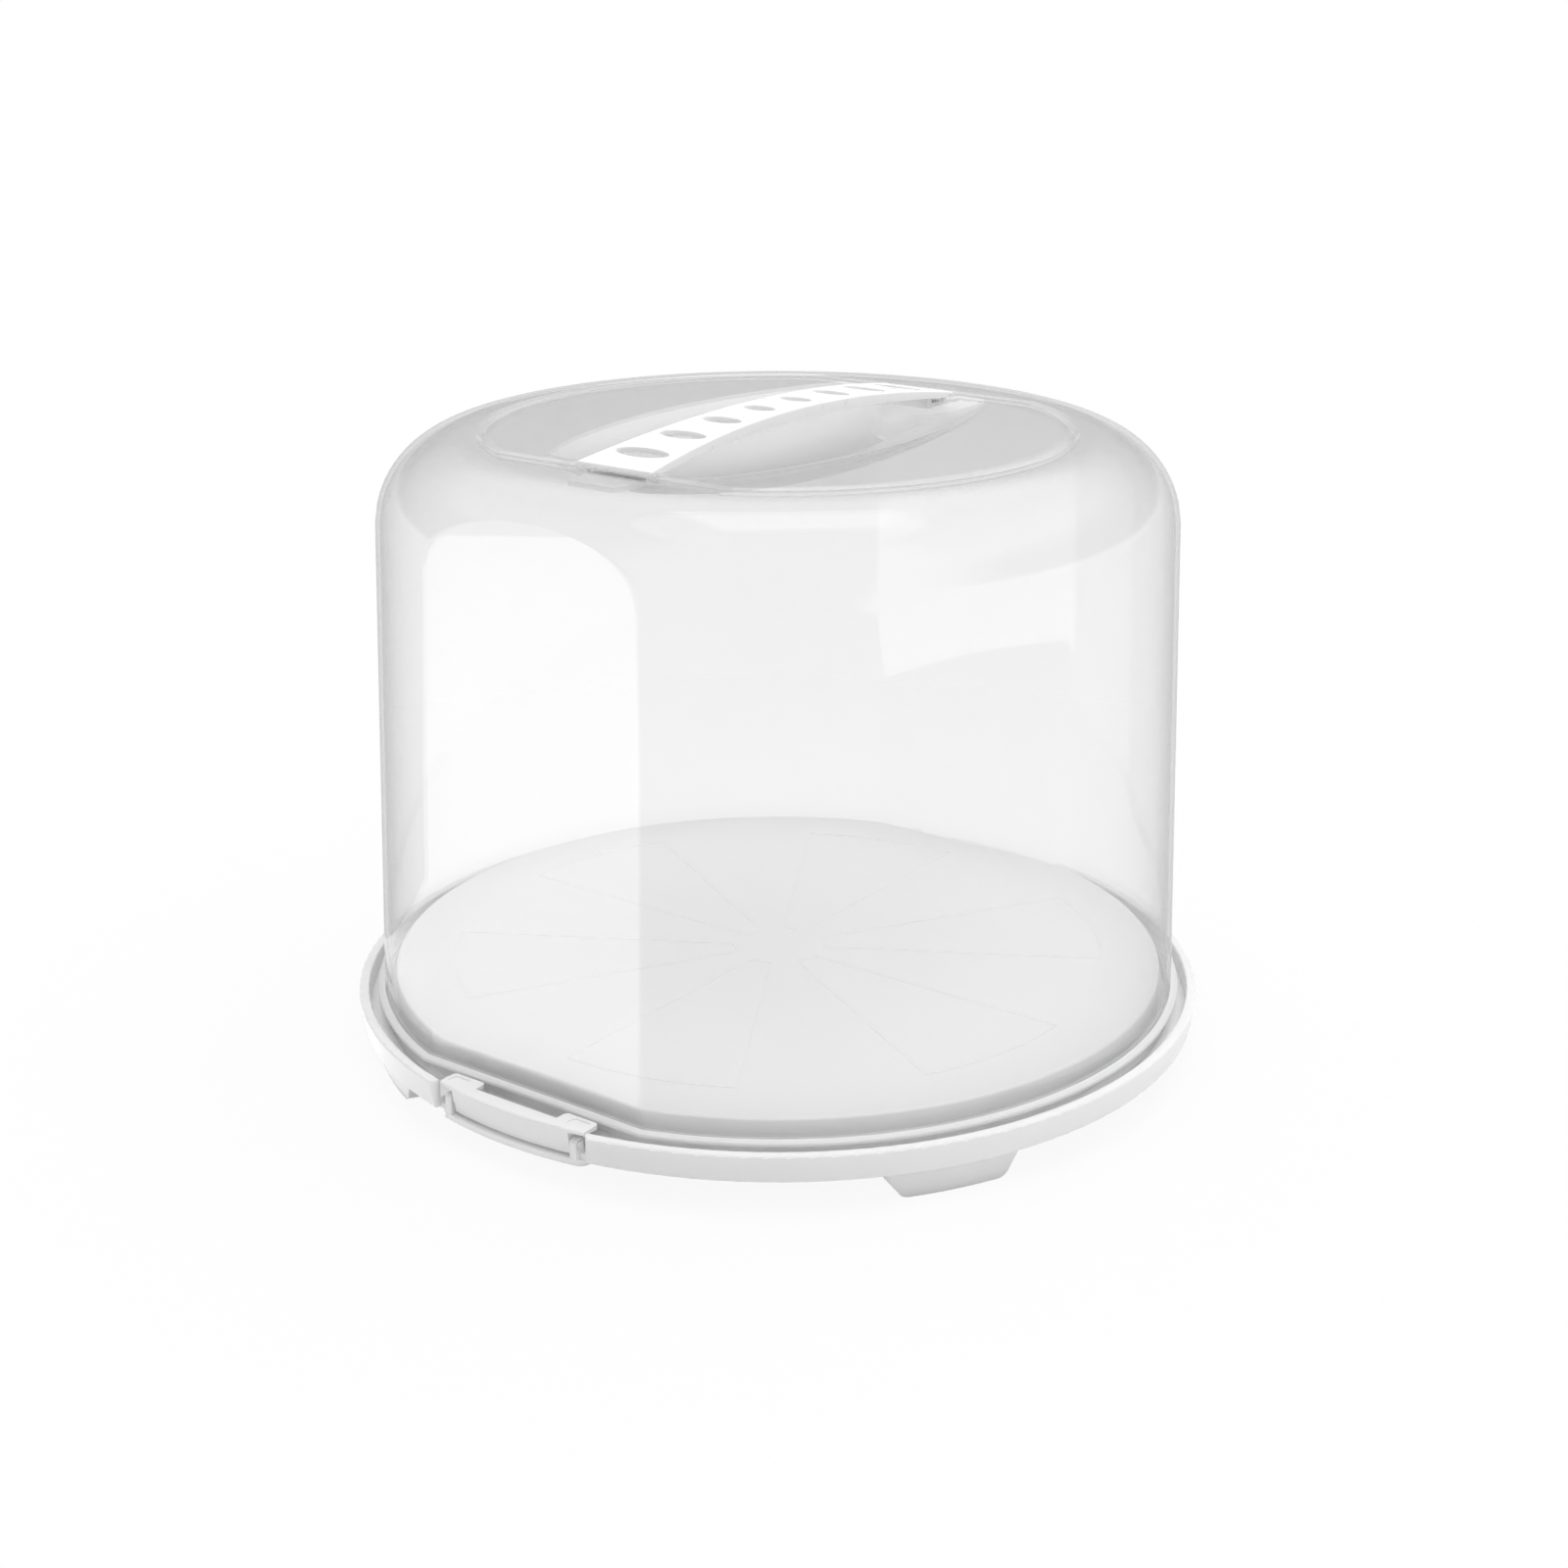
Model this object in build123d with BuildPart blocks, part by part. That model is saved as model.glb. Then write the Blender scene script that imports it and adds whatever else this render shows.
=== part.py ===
"""Round cake carrier: a tray on four feet, a clear hood with a carrying handle, and two hinged latches.

+Z is up and the origin is the centre of the footprint, on the table. The two latches face -Y and +Y, and the
handle lies along Y. Lengths are in millimetres and angles in degrees.
"""
from build123d import *
import math
import os

os.makedirs("parts", exist_ok=True)

# Tray: plan sizes, from the middle outwards
platform_radius = 161.7  # raised disc that carries the cake
flat_cut = 8.0  # edge of the disc to the flat on each latch side
hood_gap = 3.4  # disc to the inside of the hood, all round
flat_gap = 2.5  # the same gap, at the flats
groove_gap = 3.6  # hood flange to the inside of the rim
rim_width = 4.4
skirt_taper = 1.6  # the skirt is smaller by this at its lower edge
tray_wall = 2.2

# Tray: heights
foot_height = 12.6
skirt_height = 11.4
groove_depth = 8.0
platform_rise = 7.3  # disc above the rim
platform_round = 1.2
rim_round = 0.9

# Tray: feet
foot_count = 4
foot_bearing = 59.0  # first foot, turned from -Y towards +X
foot_depth = 20.0  # radial
foot_inset = 1.1  # foot face behind the inside of the rim
foot_taper = 1.5
foot_top_half = 28.0
foot_sole_half = 21.5
foot_corner = 5.0
foot_wall = 2.4

# Tray: shallow slice guides
guide_count = 6
guide_angle = 30.0
guide_inner_radius = 19.0
guide_outer_radius = 138.0
guide_inner_round = 2.5
guide_outer_round = 7.0
guide_width = 0.8
guide_depth = 0.3

# Hood
hood_wall = 1.8
hood_draft = 1.85
hood_height = 239.5  # seat to crown
shoulder_radius = 36.0
flange_width = 2.6
flange_thickness = 2.0
flange_rise = 1.2  # flange above the rim
flange_round = 0.6
seat_clearance = 0.1

# Hood: line round the crown panel
panel_radius = 117.4
panel_flat_cut = 13.5
panel_line_half = 2.1
panel_line_depth = 1.3

# Hood: finger recess under the handle
recess_half_width = 58.5
recess_half_length = 127.0  # of the lens that the end walls cut short
recess_depth = 18.0
recess_end = 98.0  # end wall, at the crown
recess_end_slope = 30.0
recess_end_round = 5.0

# Handle
handle_end = 101.8
handle_end_half = 17.8
handle_waist_half = 12.5
handle_rise = 8.2
handle_skin = 2.0
handle_waist_depth = 4.8
handle_side = 2.0
handle_pad = 5.0  # solid end that rests on the hood
handle_sink = 1.3  # seat below the crown
handle_fit = 0.4
hole_pairs = 4
hole_pitch = 24.3
hole_across = 14.5
hole_across_step = 3.3
hole_along = 8.0
hole_along_step = 0.65
handle_round = 0.6
tongue_half = 12.5
tongue_round = 3.0
tongue_thickness = 2.0
tongue_drop = 3.5  # top of the tongue below the crown
tongue_reach = 13.2  # beyond the end of the handle
web_thickness = 3.0
web_gap = 1.6  # web to the end wall of the recess
tongue_fit = 0.3
peg_radius = 1.1
peg_length = 2.4
peg_offset = 14.6
peg_fit = 0.1

# Latches
bay_half = 37.5
bay_corner = 3.0  # rounded ends of the rim
shelf_inset = 1.5  # end of the shelf inside the side of the bay
shelf_setback = 3.2
shelf_drop = 3.0  # shelf below the skirt
shelf_thickness = 2.0
shelf_step = 2.3  # step up behind the plate
shelf_round = 4.0
plate_half = 29.2
plate_setback = 3.4
plate_lean = 2.1  # foot of the plate, further in than its top
plate_wall = 2.2
plate_height = 11.1
plate_round = 1.0
ledge_depth = 6.9  # at the middle of the plate
tab_inner_half = 20.4
tab_side_clearance = 1.1
tab_thickness = 1.6
tab_gap = 0.8  # tab to the hood flange
tab_round = 2.0
dish_length = 9.0
dish_width = 5.6
dish_round = 2.0
dish_depth = 0.5
dish_inset = 1.8  # dish to the outer end of the tab
pin_inset = 8.6  # pin axis behind the rim's outer face
pin_drop = 6.2  # pin axis below the rim top
pin_radius = 1.2
pin_fit = 0.1
pin_end = 0.8  # pin past its ear
cheek_thickness = 2.0
cheek_half = 1.7
ear_gap = 0.8  # cheek to ear
ear_thickness = 3.0
ear_radius = 2.2
swing_clearance = 0.3
catch_clearance = 0.2
catch_height = 1.8
catch_above_pin = 1.7
catch_margin = 2.0

# Levels and radii that follow
platform_flat = platform_radius - flat_cut
panel_flat = panel_radius - panel_flat_cut
skirt_bottom = foot_height
rim_top = skirt_bottom + skirt_height
groove_floor = rim_top - groove_depth
platform_top = rim_top + platform_rise
hood_seat = groove_floor + seat_clearance
crown = hood_seat + hood_height
flange_top = rim_top + flange_rise
hood_radius = platform_radius + hood_gap + hood_wall
hood_flat = platform_flat + flat_gap + hood_wall
flange_radius = hood_radius + flange_width
flange_flat = hood_flat + flange_width
rim_inner_radius = flange_radius + groove_gap
rim_radius = rim_inner_radius + rim_width
skirt_radius = rim_radius - skirt_taper
draft_slope = math.tan(math.radians(hood_draft))

pin_y = -(rim_radius - pin_inset)
pin_z = rim_top - pin_drop
tab_tip_y = -(flange_flat + tab_gap)
shelf_bottom = skirt_bottom - shelf_drop
shelf_top = shelf_bottom + shelf_thickness
plate_radius = rim_radius - plate_setback
plate_bottom = rim_top - plate_height
plate_sweep = math.hypot(plate_radius - plate_lean + pin_y, pin_z - plate_bottom)
bay_back = abs(pin_y) - plate_sweep
ear_inner = plate_half + ear_gap
ear_outer = ear_inner + ear_thickness
tab_outer_half = bay_half - tab_side_clearance
tab_centre = (tab_inner_half + tab_outer_half) / 2
tab_half = (tab_outer_half - tab_inner_half) / 2


def flatted_disc(radius, flat):
    """Disc with two flats, square to Y, at this distance from its centre."""
    with BuildSketch() as disc:
        Circle(radius)
        Rectangle(2 * radius, 2 * flat, mode=Mode.INTERSECT)
    return disc.sketch


def ring(section_points):
    """Solid of revolution about Z, from (radius, height) points."""
    with BuildPart() as body:
        with BuildSketch(Plane.XZ):
            with BuildLine():
                Polyline(*section_points, close=True)
            make_face()
        revolve(axis=Axis.Z)
    return body.part


def slice_guide(inset):
    """One rounded sector of the slice guides, drawn in by inset."""
    half = math.radians(guide_angle / 2)
    shift = inset / math.sin(half)
    inner = guide_inner_radius + inset - shift
    outer = guide_outer_radius - inset - shift
    with BuildSketch() as sector:
        with BuildLine():
            near = [(inner * math.cos(half) + shift, side * inner * math.sin(half)) for side in (-1, 1)]
            far = [(outer * math.cos(half) + shift, side * outer * math.sin(half)) for side in (-1, 1)]
            Line(near[0], far[0])
            ThreePointArc(far[0], (guide_outer_radius - inset, 0), far[1])
            Line(far[1], near[1])
            Line(near[1], near[0])
        make_face()
        corners = sector.vertices().sort_by(Axis.X)
        fillet(corners[:2], guide_inner_round)
        fillet(corners[2:], guide_outer_round - inset)
    return sector.sketch


def feet(inset, top):
    """The four feet as solid blocks, drawn in by inset on every side, from below the table to top."""
    outer = rim_inner_radius - foot_inset - inset
    inner = rim_inner_radius - foot_inset - foot_depth + inset
    spread = (foot_top_half - foot_sole_half) / foot_height
    with BuildPart() as blocks:
        for index in range(foot_count):
            bearing = math.radians(foot_bearing + index * 360 / foot_count - 90)
            outward = (math.cos(bearing), math.sin(bearing), 0)
            across = (-math.sin(bearing), math.cos(bearing), 0)
            with BuildSketch(Plane(origin=(0, 0, 0), x_dir=across, z_dir=outward)) as face:
                with BuildLine():
                    sole = foot_sole_half - inset
                    crest = sole + spread * top
                    Polyline((-crest, top), (-sole, 0), (sole, 0), (crest, top), close=True)
                make_face()
                fillet(face.vertices().group_by(Axis.Y)[0], foot_corner)
            extrude(amount=rim_radius)
        with BuildSketch(Plane.XZ):
            with BuildLine():
                Polyline((inner, 0), (outer - foot_taper, 0), (outer, top), (inner, top), close=True)
            make_face()
        revolve(axis=Axis.Z, mode=Mode.INTERSECT)
    return blocks.part


def bay_rounding(hand, side):
    """Sliver outside the rounded corner that ends the rim, at one side of a bay."""
    round_x = bay_half + bay_corner
    round_y = math.sqrt((rim_radius - bay_corner) ** 2 - round_x**2)
    reach = 2 * bay_corner / math.hypot(round_x, round_y)
    corners = [
        (round_x, round_y),
        (bay_half, round_y),
        (bay_half, round_y + 2 * bay_corner),
        (round_x * (1 + reach), round_y * (1 + reach)),
    ]
    with BuildSketch() as sliver:
        with BuildLine():
            Polyline(*[(hand * x, side * y) for x, y in corners], close=True)
        make_face()
        with Locations((hand * round_x, side * round_y)):
            Circle(bay_corner, mode=Mode.SUBTRACT)
    return sliver.sketch


groove_underside = groove_floor - tray_wall
rim_section = [
    (rim_inner_radius, skirt_bottom),
    (skirt_radius, skirt_bottom),
    (rim_radius, rim_top),
    (rim_inner_radius, rim_top),
]

rim_ring = ring(rim_section)
disc_outside = flatted_disc(platform_radius, platform_flat)
disc_inside = flatted_disc(platform_radius - tray_wall, platform_flat - tray_wall)
guide_outside = slice_guide(0)
guide_inside = slice_guide(guide_width)
foot_blocks = feet(0, groove_underside)
foot_pockets = feet(foot_wall, groove_underside)
bay_roundings = [bay_rounding(hand, side) for hand in (-1, 1) for side in (-1, 1)]

with BuildPart() as base_tray:
    # rim with its skirt, rounded along the top
    add(rim_ring)
    fillet(base_tray.edges().group_by(Axis.Z)[-1], rim_round)
    fillet(base_tray.edges().group_by(Axis.Z)[0].sort_by(SortBy.RADIUS)[-1], rim_round / 2)
    # floor of the groove, right across under the disc
    with BuildSketch(Plane.XY.offset(groove_underside)):
        Circle(rim_inner_radius + rim_width / 2)
    extrude(amount=tray_wall)
    # raised disc, hollow below
    with BuildSketch(Plane.XY.offset(groove_floor)):
        add(disc_outside)
    extrude(amount=platform_top - groove_floor)
    fillet(base_tray.edges().group_by(Axis.Z)[-1], platform_round)
    with BuildSketch(Plane.XY.offset(groove_underside)):
        add(disc_inside)
    extrude(amount=platform_top - tray_wall - groove_underside, mode=Mode.SUBTRACT)
    # slice guides, as fine grooves in the disc
    with BuildSketch(Plane.XY.offset(platform_top)):
        with PolarLocations(0, guide_count, start_angle=guide_angle / 2 - 90):
            add(guide_outside)
            add(guide_inside, mode=Mode.SUBTRACT)
    extrude(amount=-guide_depth, mode=Mode.SUBTRACT)
    # feet, open below
    add(foot_blocks)
    add(foot_pockets, mode=Mode.SUBTRACT)
    # a bay in the rim for each latch, with a shelf below it and a scoop in which the latch turns
    with BuildSketch(Plane.XY.offset(shelf_top)):
        for rounding in bay_roundings:
            add(rounding)
    extrude(amount=rim_top, mode=Mode.SUBTRACT)
    for side in (-1, 1):
        back_wall = bay_back - tray_wall
        with BuildSketch(Plane.XY.offset(shelf_bottom)) as shelf:
            Circle(rim_radius - shelf_setback)
            with Locations((0, side * (back_wall + rim_radius / 2))):
                Rectangle(2 * (bay_half - shelf_inset), rim_radius, mode=Mode.INTERSECT)
            fillet(shelf.vertices().filter_by(lambda v: abs(v.Y) > abs(pin_y) - ear_radius), shelf_round)
        extrude(amount=groove_floor - shelf_bottom)
        with BuildSketch(Plane.XY.offset(shelf_top)):
            with Locations((0, side * (back_wall + abs(pin_y)) / 2)):
                Rectangle(2 * (bay_half + tray_wall), abs(pin_y) - back_wall)
        extrude(amount=groove_floor - shelf_top)
        with BuildSketch(Plane.XY.offset(shelf_top + shelf_step)):
            with Locations((0, side * (bay_back + rim_radius / 2))):
                Rectangle(2 * bay_half, rim_radius)
        extrude(amount=rim_top, mode=Mode.SUBTRACT)
        with BuildSketch(Plane.XY.offset(shelf_top)):
            with Locations((0, side * (abs(pin_y) + rim_radius / 2))):
                Rectangle(2 * bay_half, rim_radius)
        extrude(amount=rim_top, mode=Mode.SUBTRACT)
        with BuildSketch(Plane.YZ):
            with Locations((side * abs(pin_y), pin_z)):
                Circle(plate_sweep + swing_clearance)
        extrude(amount=ear_inner, both=True, mode=Mode.SUBTRACT)
        # ears that hold the pins
        for hand in (-1, 1):
            with BuildSketch(Plane.YZ.offset(hand * (ear_inner + ear_thickness / 2))):
                with Locations((side * abs(pin_y), pin_z)):
                    Circle(ear_radius)
                ear_foot = shelf_bottom + shelf_thickness / 2
                with Locations((side * abs(pin_y), (pin_z + ear_foot) / 2)):
                    Rectangle(2 * ear_radius, pin_z - ear_foot)
            extrude(amount=ear_thickness / 2, both=True)
            with BuildSketch(Plane.YZ.offset(hand * (ear_inner + ear_thickness / 2))):
                with Locations((side * abs(pin_y), pin_z)):
                    Circle(pin_radius + pin_fit)
            extrude(amount=ear_thickness, both=True, mode=Mode.SUBTRACT)
base_tray.part.label = "base_tray"
export_step(base_tray.part, "parts/base_tray.step")


# The recess is a lens: an arc along Y, turned about an axis above the crown
lens_radius = (recess_half_width**2 / recess_depth + recess_depth) / 2
lens_axis = crown - recess_depth + lens_radius
lens_arc = (recess_half_length**2 / recess_depth + recess_depth) / 2
handle_seat = crown - handle_sink
tongue_top = crown - tongue_drop
tongue_bottom = tongue_top - tongue_thickness
tongue_tip = handle_end + tongue_reach


def recess(grow):
    """The finger recess as a solid, grown by grow for the underside of the hood's skin."""
    arc = lens_arc + grow
    arc_centre = crown - recess_depth + lens_arc
    chord = recess_half_length
    chord_z = arc_centre - math.sqrt(arc**2 - chord**2)
    wall_shift = grow / math.cos(math.radians(recess_end_slope))
    end_top = recess_end + wall_shift
    reach = 2 * recess_depth  # well below the floor of the lens
    end_bottom = end_top - reach * math.tan(math.radians(recess_end_slope))
    with BuildPart() as bowl:
        with BuildSketch(Plane.YZ):
            with BuildLine():
                ThreePointArc((-chord, chord_z), (0, arc_centre - arc), (chord, chord_z))
                Polyline((chord, chord_z), (chord, lens_axis), (-chord, lens_axis), (-chord, chord_z))
            make_face()
        revolve(axis=Axis((0, 0, lens_axis), (0, 1, 0)))
        with BuildSketch(Plane.YZ):
            with BuildLine():
                Polyline(
                    (-end_top, crown + 1),
                    (-end_top, crown),
                    (-end_bottom, crown - reach),
                    (end_bottom, crown - reach),
                    (end_top, crown),
                    (end_top, crown + 1),
                    close=True,
                )
            make_face()
        extrude(amount=platform_radius, both=True, mode=Mode.INTERSECT)
        end_edges = bowl.edges().filter_by(lambda e: abs(e.center().Y) > end_bottom)
        floor_ends = end_edges.filter_by(lambda e: e.center().Z < crown - 1)
        fillet(floor_ends.group_by(Axis.Z)[0], recess_end_round + grow)
    return bowl.part


def panel_line(level):
    """V-shaped line round the crown panel, cut down from this level."""
    groove = [(-panel_line_half, 0), (0, -panel_line_depth), (panel_line_half, 0)]
    section = [(panel_radius + x, level + z) for x, z in groove]
    section += [(panel_radius + panel_line_half, level + 1), (panel_radius - panel_line_half, level + 1)]
    with BuildPart() as line:
        add(ring(section))
        with BuildSketch(Plane.XY.offset(level - panel_line_depth)):
            Rectangle(2 * rim_radius, 2 * panel_flat)
        extrude(amount=2 * panel_line_depth, mode=Mode.INTERSECT)
    with BuildPart() as chords:
        for side in (-1, 1):
            with BuildSketch(Plane.YZ):
                with BuildLine():
                    shift = side * panel_flat - panel_radius
                    Polyline(*[(y + shift, z) for y, z in section], close=True)
                make_face()
            extrude(amount=panel_radius, both=True)
        with BuildSketch(Plane.XY.offset(level - panel_line_depth)):
            Circle(panel_radius)
        extrude(amount=2 * panel_line_depth, mode=Mode.INTERSECT)
    with BuildPart() as both_lines:
        add(line.part)
        add(chords.part)
    return both_lines.part


def dome(inset, foot):
    """Solid within the hood's outer skin, drawn in by inset, from foot up to the crown."""
    foot_radius = hood_radius - inset + (hood_seat - foot) * draft_slope
    top = crown - inset
    top_radius = hood_radius - inset - (top - hood_seat) * draft_slope
    line = panel_line(top)
    bowl = recess(inset)
    with BuildPart() as body:
        with BuildSketch(Plane.XZ) as section:
            with BuildLine():
                Polyline((0, foot), (foot_radius, foot), (top_radius, top), (0, top), close=True)
            make_face()
            fillet(section.vertices().group_by(Axis.Y)[-1].sort_by(Axis.X)[-1], shoulder_radius - inset)
        revolve(axis=Axis.Z)
        for side in (-1, 1):
            facet = Plane(
                origin=(0, side * (hood_flat - inset), hood_seat),
                x_dir=(1, 0, 0),
                z_dir=(0, side * math.cos(math.radians(hood_draft)), math.sin(math.radians(hood_draft))),
            )
            split(bisect_by=facet, keep=Keep.BOTTOM)
        add(line, mode=Mode.SUBTRACT)
        add(bowl, mode=Mode.SUBTRACT)
        # seats for the ends of the handle
        with BuildSketch(Plane.XY.offset(handle_seat - inset)):
            for side in (-1, 1):
                seat_length = handle_pad + 2 * handle_fit + 2 * inset
                with Locations((0, side * (handle_end + handle_fit + inset - seat_length / 2))):
                    Rectangle(2 * (handle_end_half + handle_fit + inset), seat_length)
        extrude(amount=handle_sink + 1, mode=Mode.SUBTRACT)
    return body.part


hood_outside = dome(0, hood_seat)
hood_inside = dome(hood_wall, hood_seat - 1)
flange_disc = flatted_disc(flange_radius, flange_flat)

with BuildPart() as hood:
    add(hood_outside)
    with BuildSketch(Plane.XY.offset(flange_top - flange_thickness)):
        add(flange_disc)
    extrude(amount=flange_thickness)
    flange_rims = hood.edges().filter_by(GeomType.CIRCLE).sort_by(SortBy.RADIUS)[-4:]
    fillet(flange_rims, flange_round)
    add(hood_inside, mode=Mode.SUBTRACT)
    # slots for the tongues and holes for the pegs of the handle
    for side in (-1, 1):
        with BuildSketch(Plane.XY.offset(tongue_bottom - tongue_fit)):
            with Locations((0, side * recess_end)):
                Rectangle(2 * (tongue_half + tongue_fit), 2 * recess_end_round)
        extrude(amount=tongue_thickness + 2 * tongue_fit, mode=Mode.SUBTRACT)
        with BuildSketch(Plane.XY.offset(handle_seat)):
            with GridLocations(2 * peg_offset, 2 * (handle_end - handle_pad / 2), 2, 2):
                Circle(peg_radius + peg_fit)
        extrude(amount=-peg_length - peg_fit, mode=Mode.SUBTRACT)
hood.part.label = "hood"
export_step(hood.part, "parts/hood.step")


with BuildPart() as hood_catches:
    # two on each flat of the hood, for the tabs of the latches to snap over
    catch_face = abs(tab_tip_y) - catch_clearance
    with BuildSketch(Plane.XY.offset(pin_z + catch_above_pin - catch_height)):
        with GridLocations(2 * tab_centre, 2 * (catch_face - flange_width), 2, 2):
            Rectangle(2 * (tab_half - catch_margin), 2 * flange_width)
    extrude(amount=catch_height)
    add(hood_outside, mode=Mode.SUBTRACT)
hood_catches.part.label = "hood_catches"
export_step(hood_catches.part, "parts/hood_catches.step")


def handle_outline(inset):
    """Plan of the handle, waisted in the middle, drawn in by inset."""
    length = handle_end - inset
    end_half = handle_end_half - inset
    waist_half = handle_waist_half - inset
    with BuildSketch() as plan:
        with BuildLine():
            ThreePointArc((end_half, -length), (waist_half, 0), (end_half, length))
            Line((end_half, length), (-end_half, length))
            ThreePointArc((-end_half, length), (-waist_half, 0), (-end_half, -length))
            Line((-end_half, -length), (end_half, -length))
        make_face()
    return plan.sketch


handle_end_top = handle_seat + handle_skin
handle_mid_top = handle_end_top + handle_rise
pad_inner = handle_end - handle_pad


def handle_hollow():
    """Space under the skin of the handle, between its side flanges."""
    length = pad_inner - handle_side
    arch_end = handle_end_top - handle_skin + handle_rise * (1 - (length / handle_end) ** 2)
    floor = handle_seat - handle_skin
    plan = handle_outline(handle_side)
    with BuildPart() as hollow:
        with BuildSketch(Plane.XY.offset(floor)):
            add(plan)
        extrude(amount=handle_rise + 2 * handle_skin)
        with BuildSketch(Plane.YZ):
            with BuildLine():
                ThreePointArc((-length, arch_end), (0, handle_mid_top - handle_skin), (length, arch_end))
                Polyline((length, arch_end), (length, floor), (-length, floor), (-length, arch_end))
            make_face()
        extrude(amount=handle_end_half, both=True, mode=Mode.INTERSECT)
    return hollow.part


handle_plan = handle_outline(0)
under_skin = handle_hollow()

with BuildPart() as handle:
    with BuildSketch(Plane.XY.offset(handle_seat)):
        add(handle_plan)
    extrude(amount=handle_rise + handle_skin)
    # side view: an arch over a shallower arch, standing on a flat pad at each end
    with BuildSketch(Plane.YZ):
        with BuildLine():
            ThreePointArc((-handle_end, handle_end_top), (0, handle_mid_top), (handle_end, handle_end_top))
            Polyline((handle_end, handle_end_top), (handle_end, handle_seat), (pad_inner, handle_seat))
            waist_bottom = handle_mid_top - handle_waist_depth
            ThreePointArc((pad_inner, handle_seat), (0, waist_bottom), (-pad_inner, handle_seat))
            Polyline((-pad_inner, handle_seat), (-handle_end, handle_seat), (-handle_end, handle_end_top))
        make_face()
    extrude(amount=2 * handle_end_half, both=True, mode=Mode.INTERSECT)
    fillet(handle.edges().group_by(Axis.Z)[-1], handle_round)
    add(under_skin, mode=Mode.SUBTRACT)
    # oval holes, wider towards the ends
    for pair in range(hole_pairs):
        across = hole_across + pair * hole_across_step
        along = hole_along + pair * hole_along_step
        with BuildSketch(Plane.XY.offset(handle_seat)):
            with GridLocations(0, hole_pitch * (2 * pair + 1), 1, 2):
                Ellipse(across / 2, along / 2)
        extrude(amount=2 * (handle_rise + handle_skin), mode=Mode.SUBTRACT)
    for side in (-1, 1):
        # tongue that lies under the crown, and the web that carries it
        recess_wall = recess_end - (crown - tongue_bottom) * math.tan(math.radians(recess_end_slope))
        web_outer = recess_wall - web_gap
        web_inner = web_outer - web_thickness
        with BuildSketch(Plane.XY.offset(tongue_bottom)) as tongue:
            with Locations((0, side * (web_inner + tongue_tip) / 2)):
                Rectangle(2 * tongue_half, tongue_tip - web_inner)
            fillet(tongue.vertices().filter_by(lambda v: abs(v.Y) > handle_end), tongue_round)
        extrude(amount=tongue_thickness)
        with BuildSketch(Plane.XY.offset(tongue_bottom)):
            with Locations((0, side * (web_inner + web_outer) / 2)):
                Rectangle(2 * tongue_half, web_thickness)
        extrude(amount=handle_end_top - tongue_bottom)
    with BuildSketch(Plane.XY.offset(handle_seat)):
        with GridLocations(2 * peg_offset, 2 * (handle_end - handle_pad / 2), 2, 2):
            Circle(peg_radius)
    extrude(amount=-peg_length)
handle.part.label = "handle"
export_step(handle.part, "parts/handle.step")


plate_foot = plate_radius - plate_lean
ledge_bottom = rim_top - tab_thickness
ledge_inner = plate_radius - ledge_depth
ledge_corner = math.sqrt(plate_radius**2 - tab_outer_half**2) - ledge_depth
latch_section = [
    (plate_foot, plate_bottom),
    (plate_radius, rim_top),
    (ledge_corner, rim_top),
    (ledge_corner, ledge_bottom),
    (plate_radius - plate_wall, ledge_bottom),
    (plate_foot - plate_wall, plate_bottom),
]
latch_ring = ring(latch_section)

with BuildPart() as front_latch:
    # curved front plate that leans in towards its foot, and the ledge along its top
    add(latch_ring)
    fillet(front_latch.edges().group_by(Axis.Z)[-1].sort_by(SortBy.RADIUS)[-1], plate_round)
    with BuildSketch(Plane.XY.offset(plate_bottom)):
        with Locations((0, -(ledge_inner + rim_radius / 2))):
            Rectangle(2 * tab_outer_half, rim_radius)
    extrude(amount=plate_height, mode=Mode.INTERSECT)
    for hand in (-1, 1):
        with BuildSketch(Plane.XY.offset(plate_bottom)):
            with Locations((hand * (plate_half + rim_radius / 2), 0)):
                Rectangle(rim_radius, 2 * rim_radius)
        extrude(amount=ledge_bottom - plate_bottom, mode=Mode.SUBTRACT)
    # two tabs that reach for the hood, each with a shallow dish for a finger
    with BuildSketch(Plane.XY.offset(ledge_bottom)) as tabs:
        with GridLocations(2 * tab_centre, 0, 2, 1):
            with Locations((0, (tab_tip_y - ledge_inner - tab_round) / 2)):
                Rectangle(2 * tab_half, ledge_inner + tab_round + tab_tip_y)
        fillet(tabs.vertices().filter_by(lambda v: v.Y > -ledge_inner), tab_round)
    extrude(amount=tab_thickness)
    with BuildSketch(Plane.XY.offset(rim_top)):
        with GridLocations(2 * (tab_outer_half - dish_inset - dish_length / 2), 0, 2, 1):
            with Locations((0, tab_tip_y - dish_inset - dish_width / 2)):
                RectangleRounded(dish_length, dish_width, dish_round)
    extrude(amount=-dish_depth, mode=Mode.SUBTRACT)
    # cheeks at the ends of the plate, and the pins on them
    for hand in (-1, 1):
        with BuildSketch(Plane.YZ.offset(hand * (plate_half - cheek_thickness / 2))):
            with Locations((pin_y, pin_z)):
                Circle(cheek_half)
            with Locations((pin_y, (pin_z + rim_top - tab_thickness / 2) / 2)):
                Rectangle(2 * cheek_half, pin_drop - tab_thickness / 2)
        extrude(amount=cheek_thickness / 2, both=True)
        with BuildSketch(Plane.YZ.offset(hand * (plate_half - cheek_thickness / 2))):
            with Locations((pin_y, pin_z)):
                Circle(pin_radius)
        extrude(amount=hand * (ear_outer + pin_end - plate_half + cheek_thickness / 2))
front_latch.part.label = "front_latch"
export_step(front_latch.part, "parts/front_latch.step")


with BuildPart() as rear_latch:
    add(front_latch.part.rotate(Axis.Z, 180))
rear_latch.part.label = "rear_latch"
export_step(rear_latch.part, "parts/rear_latch.step")
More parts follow.
